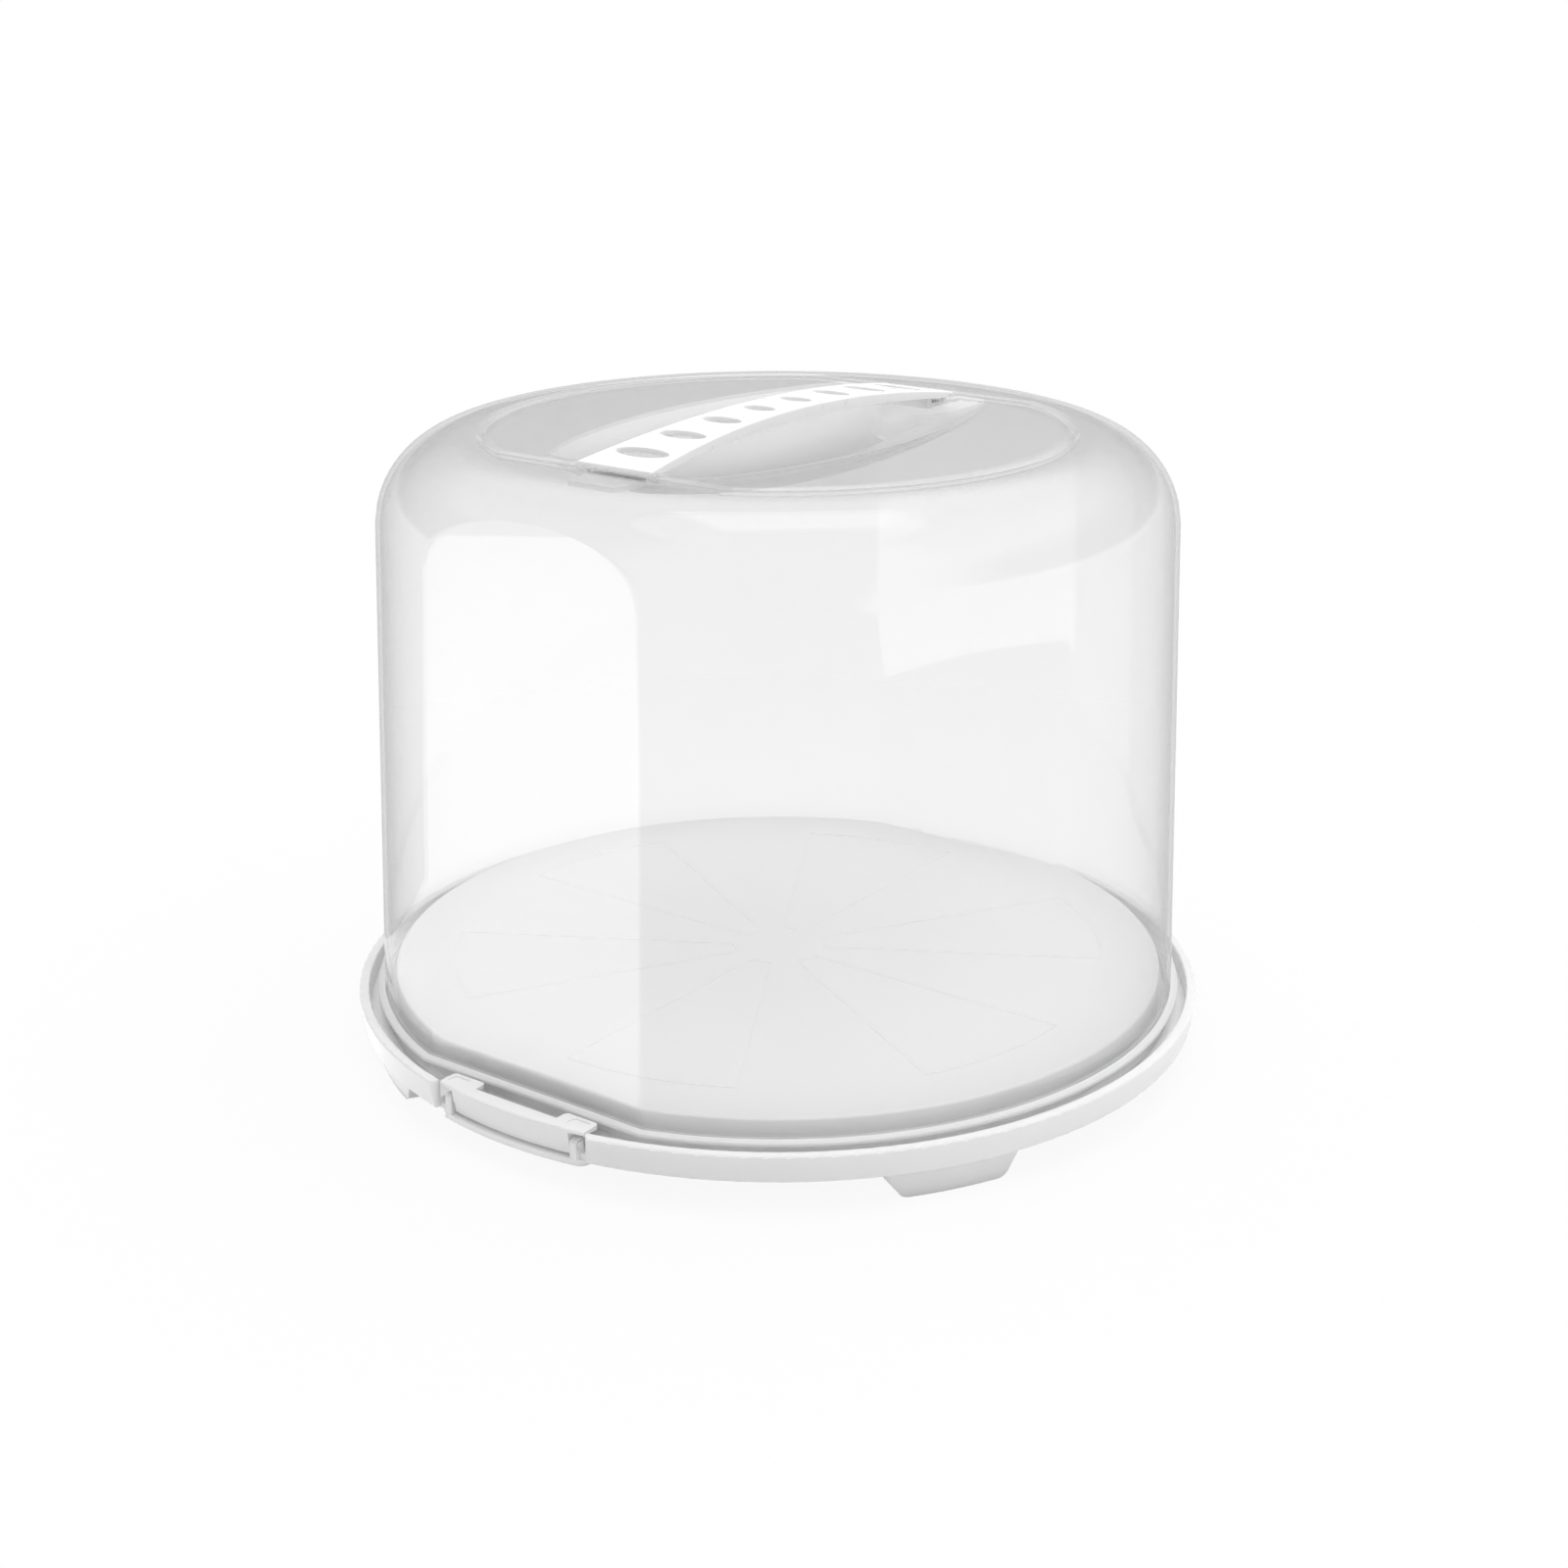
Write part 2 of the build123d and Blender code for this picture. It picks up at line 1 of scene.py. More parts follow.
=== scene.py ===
"""Round cake carrier: looks of the tray, the clear hood, the carrying handle and the two latches.

Everything is in metres in the frame of the CAD: +Z up, the latches face -Y and +Y, the handle lies along Y.
"""

import math

import bmesh
import bpy
import numpy as np
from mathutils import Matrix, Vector


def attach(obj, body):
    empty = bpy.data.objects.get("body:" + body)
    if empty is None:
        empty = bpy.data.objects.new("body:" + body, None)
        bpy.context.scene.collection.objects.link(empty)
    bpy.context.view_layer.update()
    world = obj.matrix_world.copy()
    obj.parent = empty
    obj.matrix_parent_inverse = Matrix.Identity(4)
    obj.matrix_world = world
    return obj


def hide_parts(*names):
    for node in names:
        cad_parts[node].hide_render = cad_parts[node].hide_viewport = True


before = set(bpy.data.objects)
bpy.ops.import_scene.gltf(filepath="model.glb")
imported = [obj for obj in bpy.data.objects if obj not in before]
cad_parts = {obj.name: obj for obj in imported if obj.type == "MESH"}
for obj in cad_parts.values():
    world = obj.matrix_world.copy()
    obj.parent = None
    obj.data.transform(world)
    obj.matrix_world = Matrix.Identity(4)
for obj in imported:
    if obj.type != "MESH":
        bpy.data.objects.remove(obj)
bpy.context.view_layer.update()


# ---------------------------------------------------------------------------------------------------------
# Tray. One injection moulding in white polypropylene: a raised disc with fine slice guides, a groove round
# it for the hood, a rim with a skirt, two latch bays and four hollow feet. Satin from a lightly etched tool.
# ---------------------------------------------------------------------------------------------------------


def joined_copy(node, name, sharp=33.0):
    """Copy of a CAD node with its loose triangles joined. Faces that meet at less than sharp degrees shade
    into each other, and each corner leans towards the larger faces, as a moulded round does."""
    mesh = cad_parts[node].data.copy()
    mesh.name = name
    work = bmesh.new()
    work.from_mesh(mesh)
    bmesh.ops.remove_doubles(work, verts=work.verts, dist=2e-6)
    bmesh.ops.dissolve_degenerate(work, edges=work.edges, dist=1e-6)
    for face in work.faces:
        face.smooth = True
    for edge in work.edges:
        edge.smooth = len(edge.link_faces) == 2 and edge.calc_face_angle(0.0) < math.radians(sharp)
    work.to_mesh(mesh)
    work.free()
    piece = bpy.data.objects.new(name, mesh)
    bpy.context.scene.collection.objects.link(piece)
    leaning = piece.modifiers.new("corner normals", "WEIGHTED_NORMAL")
    leaning.keep_sharp = True
    leaning.weight = 70
    return piece


class Wire:
    """A socket that carries a number. Sums, differences, products and powers of wires and numbers add their
    Math nodes."""

    def __init__(self, finish, socket):
        self.finish = finish
        self.socket = socket

    def math(self, operation, *terms):
        node = self.finish.node("ShaderNodeMath", {"operation": operation}, dict(enumerate(terms)))
        return Wire(self.finish, node.outputs[0])

    def __add__(self, other):
        return self.math("ADD", self, other)

    def __sub__(self, other):
        return self.math("SUBTRACT", self, other)

    def __mul__(self, other):
        return self.math("MULTIPLY", self, other)

    def __pow__(self, other):
        return self.math("POWER", self, other)

    def __rsub__(self, other):
        return self.math("SUBTRACT", other, self)

    __radd__ = __add__
    __rmul__ = __mul__

    def span(self, low, high):
        """The share of the way from low to high, smoothed and held between 0 and 1."""
        node = self.finish.node("ShaderNodeMapRange", {"interpolation_type": "SMOOTHSTEP"},
                                {"Value": self, "From Min": low, "From Max": high})
        return Wire(self.finish, node.outputs[0])

    def most(self, other):
        """The greater of the two."""
        return self.math("MAXIMUM", self, other)


class Nodes:
    """A node tree in the making."""

    def __init__(self, tree):
        self.tree = tree
        self.tree.nodes.clear()

    def node(self, kind, settings=None, sockets=None):
        """One node: its settings first, then a value or a link for each named or numbered socket."""
        made = self.tree.nodes.new(kind)
        for key, value in (settings or {}).items():
            setattr(made, key, value)
        for key, value in (sockets or {}).items():
            value = value.socket if isinstance(value, Wire) else value
            if isinstance(value, bpy.types.NodeSocket):
                self.tree.links.new(value, made.inputs[key])
            else:
                made.inputs[key].default_value = value
        return made


class Finish(Nodes):
    """A material in the making, on Object coordinates."""

    def __init__(self, name):
        self.material = bpy.data.materials.new(name)
        self.material.use_nodes = True
        super().__init__(self.material.node_tree)
        self.place = self.node("ShaderNodeTexCoord").outputs["Object"]

    def axes(self):
        """X, Y and Z of the place, in metres."""
        split = self.node("ShaderNodeSeparateXYZ", None, {"Vector": self.place}).outputs
        return [Wire(self, split[axis]) for axis in "XYZ"]

    def noise(self, scale, detail=2.0, roughness=0.5, stretch=None):
        """Cloudy value from 0 to 1, with scale patches to the metre."""
        place = self.place
        if stretch:
            place = self.node("ShaderNodeMapping", None, {"Vector": place, "Scale": stretch}).outputs[0]
        made = self.node("ShaderNodeTexNoise", None, {
            "Vector": place, "Scale": scale, "Detail": detail, "Roughness": roughness})
        return Wire(self, made.outputs["Fac"])

    def mix_colour(self, share, low, high):
        """Colour between low and high by share."""
        made = self.node("ShaderNodeMix", {"data_type": "RGBA"}, {0: share, 6: low, 7: high})
        return made.outputs[2]

    def relief(self, height, distance, under=None):
        """Bump of this many metres per unit of height."""
        sockets = {"Height": height, "Distance": distance, "Strength": 1.0}
        if under:
            sockets["Normal"] = under
        return self.node("ShaderNodeBump", None, sockets).outputs[0]

    def plastic(self, **sockets):
        """Principled shader with these sockets, spelled with underscores for spaces."""
        named = {key.replace("_", " "): value for key, value in sockets.items()}
        return self.node("ShaderNodeBsdfPrincipled", None, named).outputs[0]

    def blend(self, share, first, second):
        """Mix of two shaders."""
        return self.node("ShaderNodeMixShader", None, {0: share, 1: first, 2: second}).outputs[0]

    def show(self, shader):
        """The finished material, with this shader on its surface."""
        self.node("ShaderNodeOutputMaterial", None, {"Surface": shader})
        return self.material


def full(colour):
    """Colour with its alpha, as a socket wants it."""
    return (*colour, 1.0)


def satin_white(name, white, shade, roughness, grain):
    """White polypropylene: a cloudy flow pattern between two tones, small rubbed patches that are glossier
    and an etched grain this many metres deep."""
    made = Finish(name)
    flow = made.noise(14.0, 3.0, 0.55, stretch=(1.0, 1.0, 2.2))
    speck = made.noise(420.0, 2.0, 0.6)
    rubbed = made.noise(55.0, 4.0, 0.65).span(0.56, 0.74)
    etched = made.noise(1500.0, 2.0, 0.6)
    swell = made.noise(60.0, 1.0, 0.4)
    tone = made.mix_colour(flow * 0.75 + speck * 0.25, full(shade), full(white))
    bump = made.relief(etched, grain, made.relief(swell, 0.00004))
    shader = made.plastic(Base_Color=tone, Roughness=roughness + (speck - 0.5) * 0.10 - rubbed * 0.06,
                          IOR=1.49, Normal=bump, Subsurface_Weight=0.4, Subsurface_Scale=0.003,
                          Subsurface_Radius=(1.0, 1.0, 1.0))
    return made.show(shader)


tray_satin = satin_white("white tray plastic", (0.97, 0.97, 0.97), (0.95, 0.95, 0.95), 0.24, 0.000006)

base_tray = joined_copy("base_tray", "tray_moulding")
base_tray.data.materials.clear()
base_tray.data.materials.append(tray_satin)
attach(base_tray, "tray")
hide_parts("base_tray")


# ---------------------------------------------------------------------------------------------------------
# Hood. One thin drum in clear polypropylene with a flat on each latch side, a lined panel and a finger
# recess in its crown and a flange above its seat. Moulded glossy, so it shows faint flow waves and haze.
# ---------------------------------------------------------------------------------------------------------

# sizes in millimetres
MM = 0.001
seat = 16.1
crown = 255.6
wall = 1.8
draft = math.tan(math.radians(1.85))
foot_radius = 166.9
foot_flat = 158.0
shoulder = 36.0
no_flat = 1000.0
flange_low, flange_high, flange_out, flange_round = 23.2, 25.2, 2.6, 0.6
# line round the crown panel: an eased V, given as (distance from its middle, depth)
line_radius, line_flat = 117.4, 103.9
line_profile = ((0.0, 1.22), (0.25, 1.16), (1.95, 0.10), (2.1, 0.0))
line_half = line_profile[-1][0]
# finger recess: an arc of radius lens_reach along Y, turned about an axis at height lens_axis, and end walls
# that lean out from where they would meet the crown
lens_axis = 341.66
lens_reach = 457.03
lens_middle = crown - 18.0 + lens_reach
end_wall = 98.0
end_lean = math.radians(30.0)
# seats for the two ends of the handle, from here along Y to the line
handle_seat = 90.0
handle_seat_half = 18.2
handle_seat_deep = 1.3
# columns of the mesh: round from the X axis to the corner of a flat, on to the YZ plane, and across a flat
side_columns = 64
end_columns = 30
flat_columns = 22


def quarter_angles(most):
    """Bearings from 0 to most, evenly, but for one column close to the last that keeps the crease crisp."""
    share = np.linspace(0, 1, side_columns + end_columns + 1)
    return most * np.insert(share, -1, 0.996)


def loop(quarter_x, quarter_y, flat_half, flat_y, z):
    """Closed curve from a quarter of it: the quarter mirrored in both planes, with flat_columns across each
    flat. Where there is no flat those columns all lie on the YZ plane."""
    across = np.linspace(-1, 1, flat_columns + 1)
    across = np.sign(across) * (1 - (1 - np.abs(across)) ** 1.15)
    x = np.concatenate([quarter_x, -across[1:-1] * flat_half, -quarter_x[::-1],
                        -quarter_x[1:], across[1:-1] * flat_half, quarter_x[::-1][:-1]])
    y = np.concatenate([quarter_y, np.full(flat_columns - 1, flat_y), quarter_y[::-1],
                        -quarter_y[1:], np.full(flat_columns - 1, -flat_y), -quarter_y[::-1][:-1]])
    return np.stack([x, y, np.broadcast_to(z, x.shape)], 1)


def flatted(radius, flat, z):
    """Circle of this radius with a chord at flat on both latch sides."""
    open_half = math.sqrt(max(radius**2 - flat**2, 0.0)) if flat < radius else 0.0
    most = math.pi / 2 - (math.asin(open_half / radius) if open_half else 0.0)
    turn = quarter_angles(most)
    return loop(radius * np.cos(turn), radius * np.sin(turn), open_half, min(flat, radius), z)


def cornered(side_x, side_y, end_x, end_y, z):
    """Curve with corners at the ends of its flats: side columns to the corner, then end columns to X = 0."""
    return loop(np.append(side_x, end_x), np.append(side_y, end_y), 0.0, end_y[-1], z)


def end_spots(corner, notch):
    """X along a straight end from its corner to the middle, with a pair of columns at the side of the
    handle's seat."""
    outer = np.linspace(corner, notch + 0.05, end_columns // 2 + 1)[1:]
    inner = np.linspace(notch - 0.05, 0, end_columns // 2 + 1)
    return np.append(outer, inner)


def lens_height(x, y, grow):
    """Floor of the finger recess: an arc along Y, turned about an axis above the crown."""
    reach = lens_axis - lens_middle + np.sqrt((lens_reach + grow) ** 2 - y**2)
    return lens_axis - np.sqrt(np.maximum(reach**2 - x**2, 0.0))


def recess_height(x, y, grow, level):
    """The lens floor and the leaning end walls, run together with a round of about 5 mm, up to level."""
    floor = lens_height(x, y, grow)
    top = end_wall + grow / math.cos(end_lean)
    ends = crown - (top - np.abs(y)) / math.tan(end_lean)
    spread = 5.0
    both = np.maximum(floor, ends) + np.maximum(spread - np.abs(floor - ends), 0.0) ** 2 / (4 * spread)
    return np.minimum(both, level)


def recess_rim(grow, level, notch):
    """Edge of the recess in a crown at level: the side curve to its corner, then the straight end."""
    end_y = end_wall + grow / math.cos(end_lean) - (crown - level) * math.tan(end_lean)
    side_y = end_y * np.linspace(0, 1, side_columns + 1)
    reach = lens_axis - lens_middle + np.sqrt((lens_reach + grow) ** 2 - side_y**2)
    side_x = np.sqrt(reach**2 - (lens_axis - level) ** 2)
    spots = end_spots(side_x[-1], notch)
    return cornered(side_x, side_y, spots, np.full(spots.shape, end_y), level)


def line_loop(offset, level, notch):
    """Loop at offset from the middle of the panel line: an arc each side, a chord at each end."""
    radius, flat = line_radius + offset, line_flat + offset
    turn = math.asin(flat / radius) * np.linspace(0, 1, side_columns + 1)
    spots = end_spots(radius * math.cos(turn[-1]), notch)
    return cornered(radius * np.cos(turn), radius * np.sin(turn), spots, np.full(spots.shape, flat), level)


def skin(inset):
    """Rows of one skin of the hood from the middle of the crown down to the seat, drawn in by inset: loops
    that scale up over the recess, then the crown, the panel line, the shoulder and the wall."""
    level = crown - inset
    notch = handle_seat_half + 1.1 * inset
    # recess: its rim, scaled up from the middle, close together where the end walls bend
    rim = recess_rim(inset, level, notch)
    rows = []
    for share in (*np.linspace(0, 0.88, 12), *np.linspace(0.90, 0.985, 16), 0.993, 0.998):
        row = rim * (share, share, 1.0)
        row[:, 2] = recess_height(row[:, 0], row[:, 1], inset, level)
        rows.append(row)
    rows.append(rim)
    # crown panel and the line round it
    inner_line = line_loop(-line_half, level, notch)
    rows += [rim + (inner_line - rim) * share for share in (0.03, 0.08, 0.3, 0.6, 0.92)]
    rows += [line_loop(-offset, level - deep, notch) for offset, deep in line_profile[:0:-1]]
    rows += [line_loop(offset, level - deep, notch) for offset, deep in line_profile]
    # the ends of the handle sit in shallow seats
    for row in rows[12:]:
        x, y = np.abs(row[:, 0]), np.abs(row[:, 1])
        held = (x < notch) & (y > handle_seat) & (y < line_flat)
        row[held, 2] = np.minimum(row[held, 2], level - handle_seat_deep)
    # shoulder: an arc between the crown and the drafted wall, cut by the flats from apex down
    bend = shoulder - inset
    bend_z = level - bend
    bend_r = foot_radius - inset - (bend_z - seat) * draft - bend / math.cos(math.atan(draft))
    edge = line_loop(line_half, level, notch)
    ring_in = flatted(bend_r, no_flat, level)
    rows += [edge + (ring_in - edge) * share for share in (0.06, 0.35, 0.7)]
    turns = np.linspace(math.pi / 2, math.atan(draft), 4000)
    radii = bend_r + bend * np.cos(turns)
    heights = bend_z + bend * np.sin(turns)
    flats = foot_flat - inset - (heights - seat) * draft
    apex = np.argmax(radii > flats)
    above = np.linspace(0, apex, 14).astype(int)
    chord = np.sqrt(np.maximum(radii**2 - flats**2, 0.0))
    below = np.searchsorted(chord[apex:], np.linspace(0, chord[-1] * 0.999, 20)) + apex
    for spot in (*above, *below, len(turns) - 1):
        rows.append(flatted(radii[spot], flats[spot] if spot >= apex else no_flat, heights[spot]))
    # wall: down to the flange outside, to the seat inside
    low = flange_high if inset == 0 else seat
    for z in np.linspace(heights[-1], low, 16)[1:]:
        drawn = inset + (z - seat) * draft
        rows.append(flatted(foot_radius - drawn, foot_flat - drawn, z))
    return rows


def hood_rows():
    """Both skins in one run, out over the flange, round the seat and back up inside."""
    rows = skin(0.0)

    def out(offset, z):
        """One more row, at this offset from the drafted wall."""
        drawn = (z - seat) * draft
        rows.append(flatted(foot_radius - drawn + offset, foot_flat - drawn + offset, z))

    out(0.15, flange_high)
    out(flange_out - flange_round - 0.1, flange_high)
    # the flange's edge is measured from the foot, and the wall leans in above it by 0.23
    for turn in np.radians(np.linspace(90, -90, 9)):
        middle = flange_high - flange_round if turn > 0 else flange_low + flange_round
        out(flange_out + 0.23 - flange_round * (1 - math.cos(turn)), middle + flange_round * math.sin(turn))
    out(0.15, flange_low)
    out(0.0, flange_low - 0.05)
    out(0.0, seat + 0.45)
    out(-0.06, seat + 0.12)
    out(-0.3, seat)
    out(0.3 - wall, seat)
    out(0.06 - wall, seat + 0.12)
    inner = skin(wall)[::-1]
    return rows + inner[1:]


def shell(name, rows):
    """Closed surface through the rows, which are loops with the same number of points. Points that fall
    together, at the two poles and where a flat has not opened yet, become one."""
    points = np.concatenate(rows) * MM
    across = len(rows[0])
    down = np.arange(len(rows) - 1)[:, None] * across
    here = np.arange(across)[None, :]
    after = (here + 1) % across
    faces = np.stack([down + here, down + across + here, down + across + after, down + after], -1)
    mesh = bpy.data.meshes.new(name)
    mesh.from_pydata(points, [], faces.reshape(-1, 4))
    work = bmesh.new()
    work.from_mesh(mesh)
    bmesh.ops.remove_doubles(work, verts=work.verts, dist=2e-6)
    bmesh.ops.dissolve_degenerate(work, edges=work.edges, dist=1e-6)
    bmesh.ops.recalc_face_normals(work, faces=work.faces)
    work.to_mesh(mesh)
    work.free()
    mesh.shade_smooth()
    piece = bpy.data.objects.new(name, mesh)
    bpy.context.scene.collection.objects.link(piece)
    return piece


def clear_plastic(name, haze_face, haze_edge, haze_crown, milk):
    """Clear polypropylene, thin enough to show what is behind it unbent. Each skin mirrors 5 or 6 in 100 seen
    square on and more on edge, by (1 - cosine) to the fifth power. Its haze lets most light through. It shows
    more on edge, on the shoulder and most on the crown. In the recess it is thicker and less clear, a painted
    shade for the shade that falls there. The flange is painted white, a painted highlight for the bright line
    along its thick edge."""
    made = Finish(name)
    facing = Wire(made, made.node("ShaderNodeLayerWeight", None, {"Blend": 0.5}).outputs["Facing"])
    x, y, height = made.axes()
    radius = (x ** 2.0 + y ** 2.0) ** 0.5
    on_crown = height.span(0.225, 0.234) * (1 - radius.span(0.114, 0.155))
    # painted shade: the recess is made milkier and less clear, so darker, for the shade that falls in it
    recess_painted_shade = on_crown * (1 - height.span(0.2490, 0.2530))
    on_shoulder = height.span(0.15, 0.235)
    # painted highlight: the flange is made white for the bright line that its thick, light-piping edge shows
    below, above = (flange_low - 0.4) * MM, (flange_high + 0.2) * MM
    flange_painted_highlight = height.span(below, flange_low * MM) * (1 - height.span(above, above + 0.4 * MM))
    flow = made.noise(11.0, 2.0, 0.5, stretch=(1.0, 1.0, 0.45))
    wave = made.noise(34.0, 1.0, 0.4, stretch=(1.0, 1.0, 0.35))
    scuff = made.noise(240.0, 3.0, 0.7, stretch=(1.0, 1.0, 3.0)).span(0.60, 0.78)
    window = made.node("ShaderNodeBsdfTransparent", None, {"Color": full((0.985, 0.985, 0.985))}).outputs[0]
    milky = made.plastic(Base_Color=full(milk), Roughness=0.4, IOR=1.49)
    # painted highlight: this white plastic is laid on the flange for the bright line along its edge
    white = made.plastic(Base_Color=full((0.95, 0.95, 0.95)), Roughness=0.4, IOR=1.49)
    through = made.node("ShaderNodeBsdfTranslucent", None, {"Color": full((0.90, 0.90, 0.90))}).outputs[0]
    gloss = made.node("ShaderNodeBsdfAnisotropic", None, {
        "Color": full((1.0, 1.0, 1.0)), "Roughness": 0.02 + scuff * 0.06,
        "Normal": made.relief(wave, 0.00002)}).outputs[0]
    haze = haze_face * (0.7 + 0.6 * flow) + scuff * 0.006 + 0.05 * on_shoulder
    haze = haze + haze_crown * on_crown + 0.09 * recess_painted_shade
    # painted shade: in the recess less of the haze lets light through, so it reads darker
    body = made.blend(haze, window, made.blend(0.75 - 0.3 * recess_painted_shade, milky, through))
    body = made.blend(haze_edge * facing ** 6.5, body, milky)
    body = made.blend(0.85 * flange_painted_highlight, body, white)
    return made.show(made.blend(0.055 + 0.26 * facing ** 5.0, body, gloss))


hood_clear = clear_plastic("clear hood plastic", 0.040, 0.90, 0.095, (0.40, 0.40, 0.40))

hood = shell("hood_drum", hood_rows())
hood.data.materials.append(hood_clear)
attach(hood, "hood")
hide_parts("hood")

catches = joined_copy("hood_catches", "latch_catches")
catches.data.materials.clear()
catches.data.materials.append(hood_clear)
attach(catches, "hood")
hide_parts("hood_catches")


# ---------------------------------------------------------------------------------------------------------
# Handle. A waisted arch in bright white polypropylene with side flanges below and eight oval holes. Its
# ends rest in seats on the crown, held by a tongue that passes under the crown and by two pegs each.
# ---------------------------------------------------------------------------------------------------------

handle_satin = satin_white("white handle plastic", (0.91, 0.91, 0.91), (0.89, 0.89, 0.89), 0.30, 0.000008)

handle = joined_copy("handle", "carrying_handle")
handle.data.materials.clear()
handle.data.materials.append(handle_satin)
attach(handle, "hood")
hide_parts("handle")


# ---------------------------------------------------------------------------------------------------------
# Latches. Two alike, in milky polypropylene: a curved plate with a ledge, two tabs that snap over catches
# on the hood, and cheeks with pins that turn in ears on the tray.
# ---------------------------------------------------------------------------------------------------------


def milky_plastic(name, tone, shade):
    """Natural polypropylene: a cloudy white with a soft gloss."""
    made = Finish(name)
    flow = made.noise(45.0, 3.0, 0.55)
    etched = made.noise(1300.0, 2.0, 0.6)
    colour = made.mix_colour(flow, full(shade), full(tone))
    bump = made.relief(etched, 0.000008)
    shader = made.plastic(Base_Color=colour, Roughness=0.30 + (etched - 0.5) * 0.12, IOR=1.49,
                          Normal=bump)
    return made.show(shader)


latch_milk = milky_plastic("milky latch plastic", (0.95, 0.95, 0.95), (0.92, 0.92, 0.92))

for node in ("front_latch", "rear_latch"):
    latch = joined_copy(node, node + "_moulding")
    latch.data.materials.clear()
    latch.data.materials.append(latch_milk)
    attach(latch, node)
    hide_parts(node)


# ---------------------------------------------------------------------------------------------------------
# Table and room. A pale matt table under a plain white room; both show white to the eye, in gloss and
# through the clear hood, and the table keeps the carrier's soft shadow.
# ---------------------------------------------------------------------------------------------------------

room_light = 0.45
# share of the lit table that shows near the carrier, with its shadow
shadow_share = 0.08


def seen_rays(tree):
    """1 for rays from the eye, off gloss or through clear plastic, 0 for those that light things."""
    made = tree.node("ShaderNodeLightPath")
    rays = [Wire(tree, made.outputs[name]) for name in
            ("Is Camera Ray", "Is Glossy Ray", "Is Transmission Ray")]
    return rays[0].most(rays[1]).most(rays[2])


matt = Finish("table top")
table_grain = matt.noise(30.0, 3.0, 0.5)
table_tone = matt.mix_colour(table_grain, full((0.76, 0.76, 0.76)), full((0.79, 0.79, 0.79)))
lit = matt.node("ShaderNodeBsdfDiffuse", None, {"Color": table_tone}).outputs[0]
white = matt.node("ShaderNodeEmission", None, {"Strength": 1.0}).outputs[0]
x, y, z = matt.axes()
away = (x ** 2.0 + y ** 2.0) ** 0.5
white_share = 1 - shadow_share * (1 - away.span(0.20, 0.5))
table_finish = matt.show(matt.blend(seen_rays(matt) * white_share, lit, white))


def disc(name, radius, z, rings=24, columns=96):
    """Flat disc: circles about the origin, the first shrunk to a point."""
    turn = np.linspace(0, 2 * math.pi, columns, endpoint=False)
    away = radius * np.linspace(0, 1, rings) ** 2
    x = (away[:, None] * np.cos(turn)).ravel()
    y = (away[:, None] * np.sin(turn)).ravel()
    down = np.arange(rings - 1)[:, None] * columns
    here = np.arange(columns)[None, :]
    after = (here + 1) % columns
    faces = np.stack([down + here, down + columns + here, down + columns + after, down + after], -1)
    mesh = bpy.data.meshes.new(name)
    mesh.from_pydata(np.stack([x, y, np.full(x.shape, z)], 1), [], faces.reshape(-1, 4))
    work = bmesh.new()
    work.from_mesh(mesh)
    bmesh.ops.remove_doubles(work, verts=work.verts, dist=1e-6)
    work.to_mesh(mesh)
    work.free()
    piece = bpy.data.objects.new(name, mesh)
    bpy.context.scene.collection.objects.link(piece)
    return piece


table = disc("table_top", 25.0, -0.0002)
table.data.materials.append(table_finish)

world = bpy.data.worlds.new("room")
bpy.context.scene.world = world
world.use_nodes = True
room = Nodes(world.node_tree)
level = room_light + (1 - room_light) * seen_rays(room)
light = room.node("ShaderNodeBackground", None, {"Color": full((1.0, 1.0, 1.0)), "Strength": level})
room.node("ShaderNodeOutputWorld", None, {"Surface": light.outputs[0]})


# ---------------------------------------------------------------------------------------------------------
# Lamps, cards and camera. A broad soft box overhead with two weak ones low down lights the carrier. Three
# cards show in its gloss alone. The camera stands a metre off, above the crown, and looks down on it.
# ---------------------------------------------------------------------------------------------------------

camera_bearing = 36.3
camera_dip = 19.30


def soft_box(name, place, width, height, power):
    """Rectangular lamp at place, turned towards the carrier, in metres and watts. No gloss shows it."""
    lamp = bpy.data.lights.new(name, "AREA")
    lamp.shape = "RECTANGLE"
    lamp.size, lamp.size_y = width, height
    lamp.energy = power
    holder = bpy.data.objects.new(name, lamp)
    bpy.context.scene.collection.objects.link(holder)
    holder.location = place
    holder.rotation_euler = (Vector((0.0, 0.0, 0.1)) - Vector(place)).to_track_quat("-Z", "Y").to_euler()
    holder.visible_glossy = False


soft_box("ceiling box", (0.1, 0.15, 1.8), 1.8, 1.8, 31.0)
soft_box("left box", (-1.3, -1.2, 0.7), 0.8, 1.0, 1.0)
soft_box("right box", (1.7, 0.2, 0.7), 0.8, 1.0, 3.0)


def gloss_card(name, rows, finish, strength, share):
    """Glowing card between two rows of points that only gloss sees. Where its share is less than 1 it is
    partly clear."""
    across = len(rows[0])
    here = np.arange(across - 1)
    faces = np.stack([here, here + across, here + across + 1, here + 1], 1)
    mesh = bpy.data.meshes.new(name)
    mesh.from_pydata(np.concatenate(rows), [], faces)
    piece = bpy.data.objects.new(name, mesh)
    bpy.context.scene.collection.objects.link(piece)
    piece.visible_camera = False
    piece.visible_diffuse = False
    piece.visible_transmission = False
    piece.visible_shadow = False
    glow = finish.node("ShaderNodeEmission", None, {"Strength": strength}).outputs[0]
    gap = finish.node("ShaderNodeBsdfTransparent").outputs[0]
    mesh.materials.append(finish.show(finish.blend(share, gap, glow)))


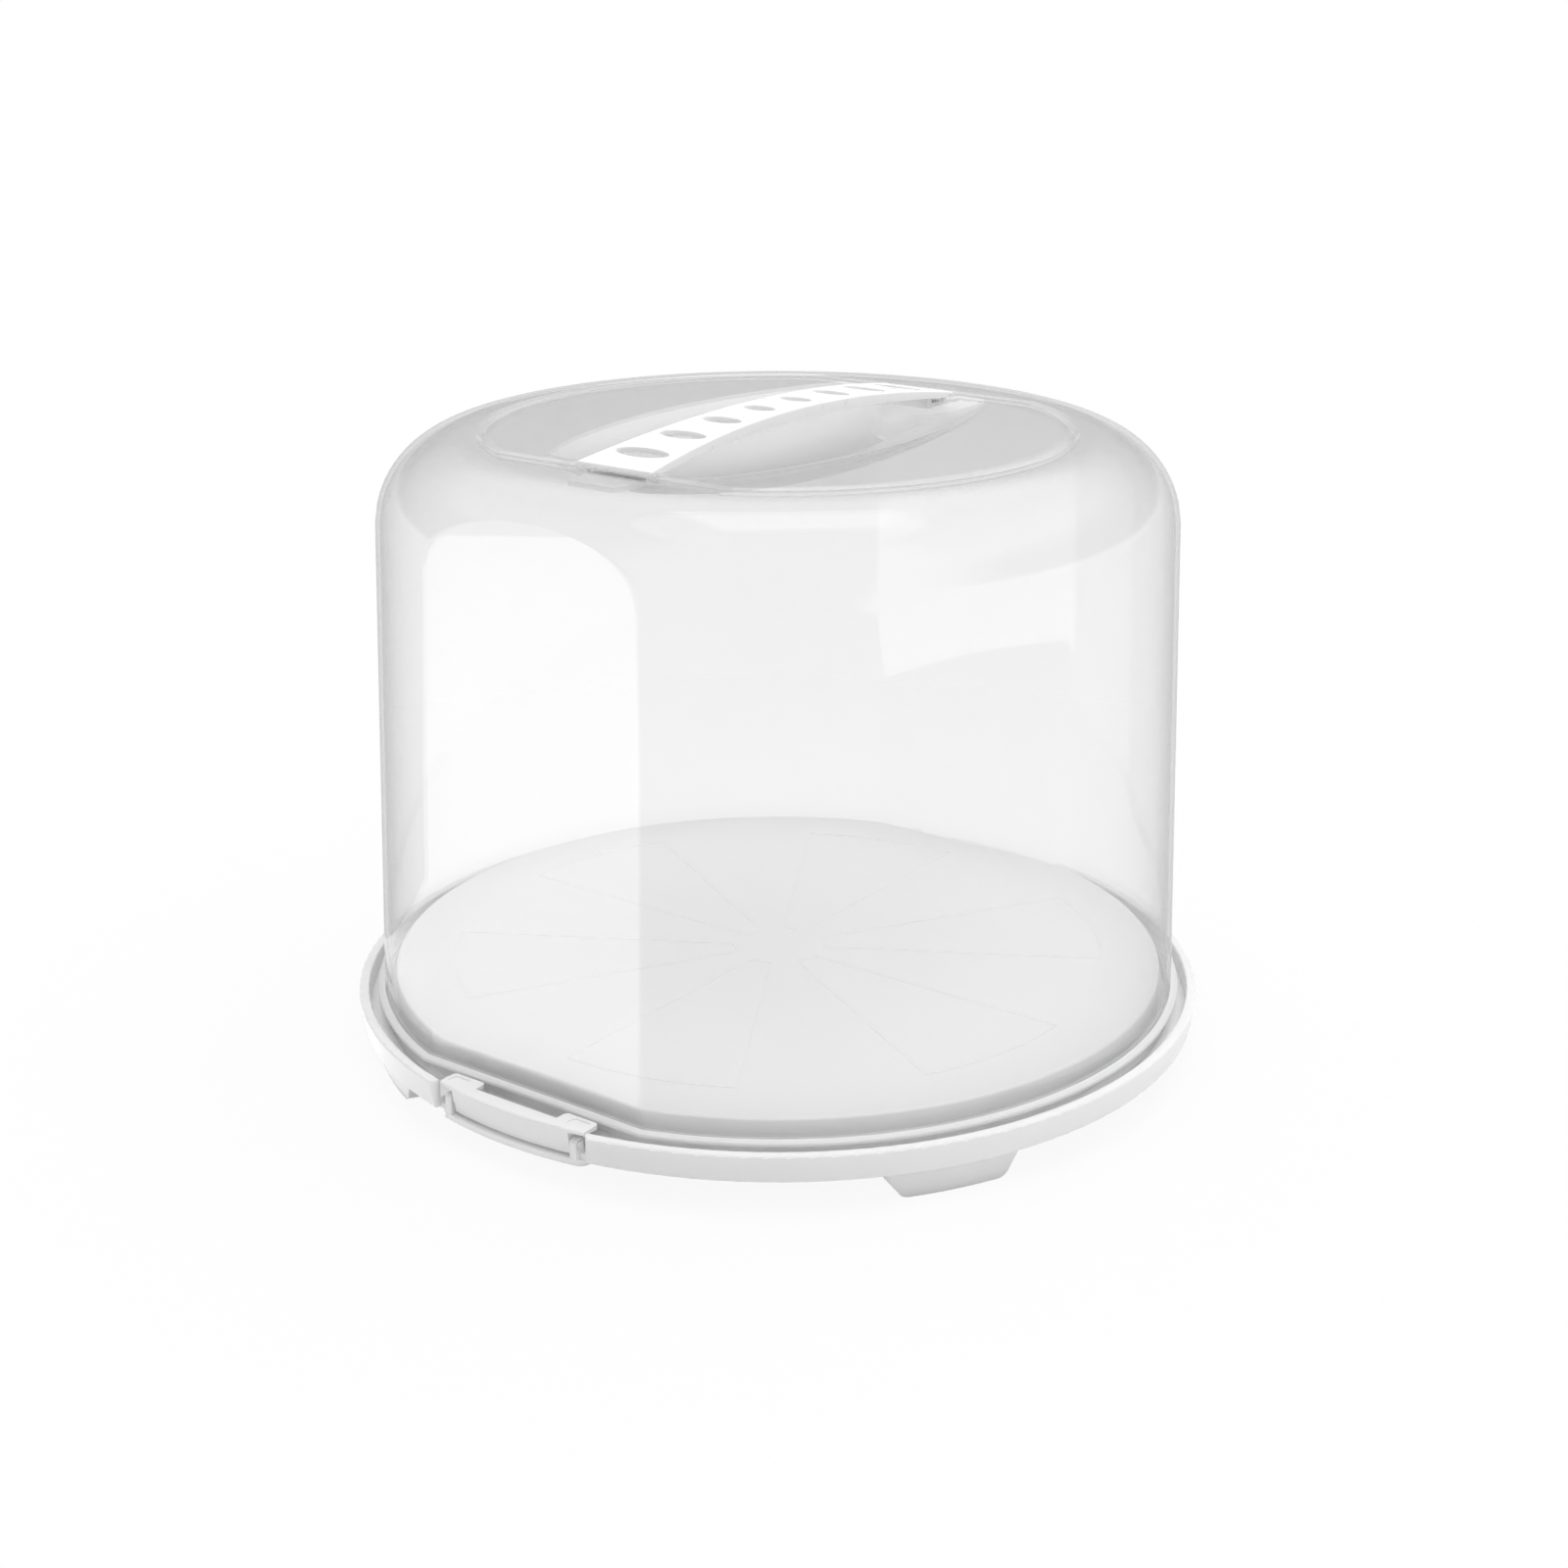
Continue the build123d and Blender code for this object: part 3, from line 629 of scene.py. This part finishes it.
def level_card(centre, bearing, low, high, half):
    """Ends of a level card: it runs from low to high along the bearing and half to each side of it."""
    turn = math.radians(bearing)
    along = np.array([math.cos(turn), math.sin(turn), 0.0])
    aside = np.array([-math.sin(turn), math.cos(turn), 0.0]) * half
    middles = [np.array(centre) + along * low, np.array(centre) + along * high]
    return [np.stack([middle - aside, middle + aside]) for middle in middles]


# a tall grey card curves round the back of the set; the crown shows its foot
grey_radius = 2.5
facing_away = math.radians(90 + camera_bearing)
turn = facing_away + np.radians(np.linspace(-150, 150, 61))
foot_and_head = [np.stack([grey_radius * np.cos(turn), grey_radius * np.sin(turn), np.full(61, height)], 1)
                 for height in (0.35, 6.0)]
grey = Finish("grey card")
x, y, z = grey.axes()
depth = x * math.cos(facing_away) + y * math.sin(facing_away)
gloss_card("grey_card", foot_and_head, grey, 0.25,
           z.span(0.42, 0.58) * (1 - 0.6 * z.span(1.1, 2.0)) * depth.span(-2.1, -0.8))

# a light table lies before the left of the carrier; the flat over the latch shows it, the round wall doesn't
pale = Finish("light table")
x, y, z = pale.axes()
off_carrier = ((x ** 2.0 + y ** 2.0) ** 0.5).span(0.05, 0.25)
past_crease = (x - 0.5 * y).span(0.103, 0.163)
gloss_card("light_table", level_card((-0.43, -0.62, 0.001), 48, -0.625, 0.625, 0.21), pale, 1.9,
           off_carrier * (1 - past_crease))

# a light strip hangs behind the crown, dimmer towards its right end; the shoulder shows it
strip = Finish("light strip")
x, y, z = strip.axes()
along = (x + y) * math.cos(math.radians(45))
gloss_card("light_strip", level_card((0.60, 0.90, 1.5), 45, -1.34, -0.45, 0.325), strip, 1.7,
           along.span(-0.28, -0.20) * (1 - along.span(0.30, 0.60)))

lens = bpy.data.cameras.new("camera")
lens.sensor_width = 36.0
lens.lens = 56.08
lens.shift_x = 0.0038
lens.shift_y = 0.00035
lens.clip_start = 0.01
lens.clip_end = 30.0
camera = bpy.data.objects.new("camera", lens)
bpy.context.scene.collection.objects.link(camera)
camera.location = (0.5711, -0.7774, 0.4420)
camera.rotation_euler = (math.radians(90 - camera_dip), 0.0, math.radians(camera_bearing))
bpy.context.scene.camera = camera
bpy.context.scene.view_settings.view_transform = "Standard"
